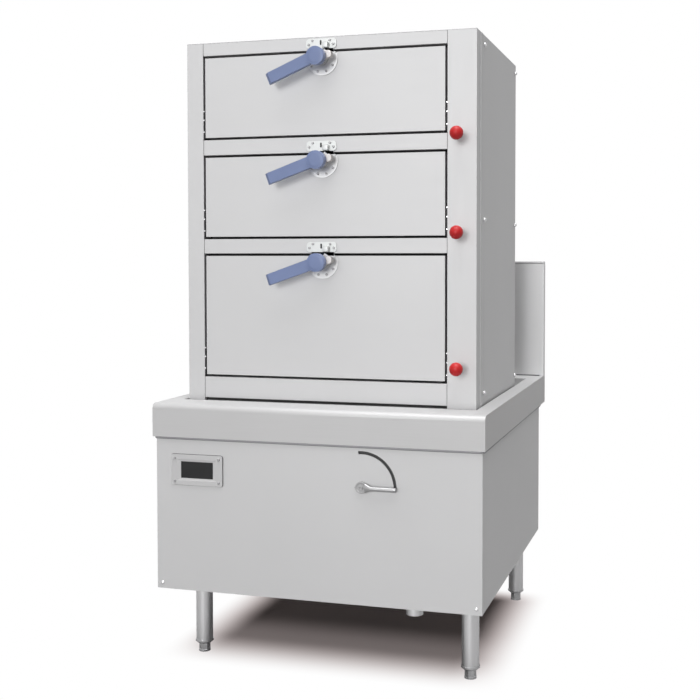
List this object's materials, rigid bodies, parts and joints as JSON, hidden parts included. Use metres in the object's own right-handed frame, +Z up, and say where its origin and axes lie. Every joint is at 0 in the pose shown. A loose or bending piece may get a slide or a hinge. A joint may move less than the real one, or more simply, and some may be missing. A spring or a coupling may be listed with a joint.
{
  "type": "seafood steamer",
  "caption": "Upright stainless seafood steamer: stacked steam chambers behind drop-down doors with blue lever latches, on an induction base with legs.",
  "frame": {"origin": "on the floor, under the middle of the whole object's box", "axes": "+Z up; front with the doors towards -Y; +X to the right seen from the front"},
  "size_m": [0.9, 1.012, 1.679],
  "materials": {
    "stainless": "fine satin brush",
    "chamber_steel": "satin",
    "frame_steel": "matt",
    "socket_steel": "satin",
    "foot_steel": "turned",
    "screw_steel": "polished",
    "latch_metal": "bright",
    "lever_steel": "bright",
    "bezel_plastic": "satin",
    "display_black": "gloss",
    "black_plastic": "matt",
    "copper": "wound",
    "coated_steel": "satin",
    "brass": "machined",
    "seal_rubber": "matt",
    "handle_blue": "satin",
    "knob_red": "gloss"
  },
  "bodies": {
    "cabinet": {"leg_tubes": "stainless", "leg_sockets": "socket_steel", "base_frame": "frame_steel", "base_front_panel": "stainless", "base_shell": "stainless", "base_floor_panel": "stainless", "top_rim": "stainless", "backsplash": "stainless", "panel_screws": "screw_steel", "control_bezel": "bezel_plastic", "display_unit": "display_black", "gear_switch": "black_plastic", "water_tank": "chamber_steel", "induction_coil": "copper", "inverter_box": "coated_steel", "water_feed": "brass", "drain_pipe": "stainless", "cable_gland": "black_plastic", "steam_riser": "chamber_steel", "steam_valves": "brass", "left_post": "stainless", "right_post": "stainless", "front_rails": "stainless", "cabinet_side_panels": "stainless", "cabinet_back_panel": "stainless", "cabinet_top_panel": "stainless", "chamber_bottom": "chamber_steel", "chamber_middle": "chamber_steel", "chamber_top": "chamber_steel", "steam_racks": "chamber_steel", "door_seals": "seal_rubber", "latch_keepers": "latch_metal", "hinge_brackets": "screw_steel"},
    "door_bottom": {"door_skin_bottom": "stainless", "door_liner_bottom": "chamber_steel", "latch_plate_bottom": "latch_metal"},
    "latch_bottom": {"latch_handle_bottom": "handle_blue", "latch_cam_bottom": "latch_metal"},
    "valve_bottom": {"ball_knob_bottom": "knob_red", "valve_rod_bottom": "lever_steel"},
    "door_middle": {"door_skin_middle": "stainless", "door_liner_middle": "chamber_steel", "latch_plate_middle": "latch_metal"},
    "latch_middle": {"latch_handle_middle": "handle_blue", "latch_cam_middle": "latch_metal"},
    "valve_middle": {"ball_knob_middle": "knob_red", "valve_rod_middle": "lever_steel"},
    "door_top": {"door_skin_top": "stainless", "door_liner_top": "chamber_steel", "latch_plate_top": "latch_metal"},
    "latch_top": {"latch_handle_top": "handle_blue", "latch_cam_top": "latch_metal"},
    "valve_top": {"ball_knob_top": "knob_red", "valve_rod_top": "lever_steel"},
    "gear_lever": {"gear_lever": "lever_steel"},
    "foot_front_left": {"foot_front_left": "foot_steel"},
    "foot_front_right": {"foot_front_right": "foot_steel"},
    "foot_rear_left": {"foot_rear_left": "foot_steel"},
    "foot_rear_right": {"foot_rear_right": "foot_steel"},
    "fan_rotor": {"fan_rotor": "black_plastic"}
  },
  "joints": [
    {"name": "door_bottom_hinge", "type": "hinge", "parent": "cabinet", "child": "door_bottom", "pos_m": [-0.0145, -0.365, 0.7905], "axis": [1, 0, 0], "range_deg": [0, 90]},
    {"name": "latch_bottom_turn", "type": "hinge", "parent": "door_bottom", "child": "latch_bottom", "pos_m": [-0.012, -0.373, 1.086], "axis": [0, -1, 0], "range_deg": [0, 65]},
    {"name": "valve_bottom_pull", "type": "slide", "parent": "cabinet", "child": "valve_bottom", "axis": [0, -1, 0], "range_m": [0, 0.04]},
    {"name": "door_middle_hinge", "type": "hinge", "parent": "cabinet", "child": "door_middle", "pos_m": [-0.0145, -0.365, 1.1655], "axis": [1, 0, 0], "range_deg": [0, 90]},
    {"name": "latch_middle_turn", "type": "hinge", "parent": "door_middle", "child": "latch_middle", "pos_m": [-0.012, -0.373, 1.352], "axis": [0, -1, 0], "range_deg": [0, 65]},
    {"name": "valve_middle_pull", "type": "slide", "parent": "cabinet", "child": "valve_middle", "axis": [0, -1, 0], "range_m": [0, 0.04]},
    {"name": "door_top_hinge", "type": "hinge", "parent": "cabinet", "child": "door_top", "pos_m": [-0.0145, -0.365, 1.4335], "axis": [1, 0, 0], "range_deg": [0, 90]},
    {"name": "latch_top_turn", "type": "hinge", "parent": "door_top", "child": "latch_top", "pos_m": [-0.012, -0.373, 1.62], "axis": [0, -1, 0], "range_deg": [0, 65]},
    {"name": "valve_top_pull", "type": "slide", "parent": "cabinet", "child": "valve_top", "axis": [0, -1, 0], "range_m": [0, 0.04]},
    {"name": "gear_lever_swing", "type": "hinge", "parent": "cabinet", "child": "gear_lever", "pos_m": [0.131, -0.486, 0.518], "axis": [0, -1, 0], "range_deg": [0, 92]},
    {"name": "foot_front_left_screw", "type": "slide", "parent": "cabinet", "child": "foot_front_left", "axis": [0, 0, -1], "range_m": [0, 0.025]},
    {"name": "foot_front_right_screw", "type": "slide", "parent": "cabinet", "child": "foot_front_right", "axis": [0, 0, -1], "range_m": [0, 0.025]},
    {"name": "foot_rear_left_screw", "type": "slide", "parent": "cabinet", "child": "foot_rear_left", "axis": [0, 0, -1], "range_m": [0, 0.025]},
    {"name": "foot_rear_right_screw", "type": "slide", "parent": "cabinet", "child": "foot_rear_right", "axis": [0, 0, -1], "range_m": [0, 0.025]},
    {"name": "fan_spin", "type": "hinge", "parent": "cabinet", "child": "fan_rotor", "pos_m": [-0.18, 0.062, 0.298], "axis": [0, 1, 0], "continuous": true}
  ]
}
